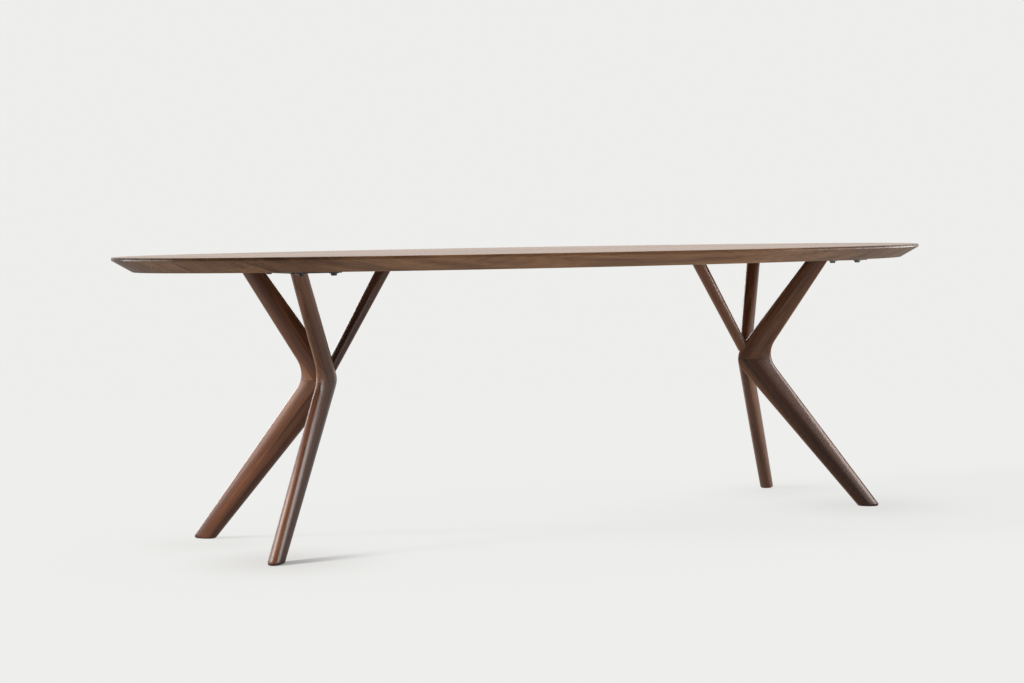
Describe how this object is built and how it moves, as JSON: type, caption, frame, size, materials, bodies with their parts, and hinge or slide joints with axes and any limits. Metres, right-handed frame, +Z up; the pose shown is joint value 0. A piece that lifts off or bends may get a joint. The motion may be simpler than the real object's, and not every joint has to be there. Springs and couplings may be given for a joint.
{
  "type": "dining table",
  "caption": "Oval solid-wood dining table with an undercut edge, on a pair of sculpted bases with splayed legs and branching arms.",
  "frame": {"origin": "on the floor under the middle of the oval top", "axes": "+X along the table's length, +Y across it towards the back, +Z up"},
  "size_m": [2.44, 1.12, 0.75],
  "materials": {
    "walnut_top": "satin lacquered walnut, long grain along the top",
    "walnut_base": "satin lacquered dark walnut, grain along each limb",
    "black_steel": "black powder coated steel",
    "zinc_steel": "zinc plated steel",
    "brass": "plain turned brass",
    "beech": "bare beech dowel",
    "nylon": "black moulded nylon"
  },
  "bodies": {
    "table": {"top_board_1": "walnut_top", "top_board_2": "walnut_top", "top_board_3": "walnut_top", "top_board_4": "walnut_top", "top_board_5": "walnut_top", "top_board_6": "walnut_top", "top_board_7": "walnut_top", "top_board_8": "walnut_top", "top_board_9": "walnut_top", "leg_left_front": "walnut_base", "leg_left_back": "walnut_base", "leg_right_front": "walnut_base", "leg_right_back": "walnut_base", "arm_left_front": "walnut_base", "arm_left_back": "walnut_base", "arm_right_front": "walnut_base", "arm_right_back": "walnut_base", "inner_arm_left": "walnut_base", "inner_arm_right": "walnut_base", "mounting_plate_left": "black_steel", "mounting_plate_right": "black_steel", "plate_bolts": "zinc_steel", "plate_washers": "zinc_steel", "top_inserts": "brass", "arm_screws": "zinc_steel", "arm_inserts": "brass", "knee_dowels": "beech", "knot_dowels": "beech", "inner_arm_dowels": "beech", "foot_inserts": "brass"},
    "pad_left_front": {"glide_left_front": "nylon"},
    "screw_left_front": {"glide_screw_left_front": "zinc_steel"},
    "pad_left_back": {"glide_left_back": "nylon"},
    "screw_left_back": {"glide_screw_left_back": "zinc_steel"},
    "pad_right_front": {"glide_right_front": "nylon"},
    "screw_right_front": {"glide_screw_right_front": "zinc_steel"},
    "pad_right_back": {"glide_right_back": "nylon"},
    "screw_right_back": {"glide_screw_right_back": "zinc_steel"}
  },
  "joints": [
    {"name": "glide_travel_left_front", "type": "slide", "parent": "table", "child": "pad_left_front", "axis": [0, 0, -1], "range_m": [0, 0.008]},
    {"name": "screw_turn_left_front", "type": "hinge", "parent": "pad_left_front", "child": "screw_left_front", "pos_m": [-0.91336, -0.24358, 0.02], "axis": [0, 0, -1], "range_deg": [0, 2300]},
    {"name": "glide_travel_left_back", "type": "slide", "parent": "table", "child": "pad_left_back", "axis": [0, 0, -1], "range_m": [0, 0.008]},
    {"name": "screw_turn_left_back", "type": "hinge", "parent": "pad_left_back", "child": "screw_left_back", "pos_m": [-0.91336, 0.24358, 0.02], "axis": [0, 0, -1], "range_deg": [0, 2300]},
    {"name": "glide_travel_right_front", "type": "slide", "parent": "table", "child": "pad_right_front", "axis": [0, 0, -1], "range_m": [0, 0.008]},
    {"name": "screw_turn_right_front", "type": "hinge", "parent": "pad_right_front", "child": "screw_right_front", "pos_m": [0.91336, -0.24358, 0.02], "axis": [0, 0, -1], "range_deg": [0, 2300]},
    {"name": "glide_travel_right_back", "type": "slide", "parent": "table", "child": "pad_right_back", "axis": [0, 0, -1], "range_m": [0, 0.008]},
    {"name": "screw_turn_right_back", "type": "hinge", "parent": "pad_right_back", "child": "screw_right_back", "pos_m": [0.91336, 0.24358, 0.02], "axis": [0, 0, -1], "range_deg": [0, 2300]}
  ],
  "couplings": [
    {"joint": "glide_travel_left_front", "follows": "screw_turn_left_front", "m_per_rad": 0.00019894},
    {"joint": "glide_travel_left_back", "follows": "screw_turn_left_back", "m_per_rad": 0.00019894},
    {"joint": "glide_travel_right_front", "follows": "screw_turn_right_front", "m_per_rad": 0.00019894},
    {"joint": "glide_travel_right_back", "follows": "screw_turn_right_back", "m_per_rad": 0.00019894}
  ]
}
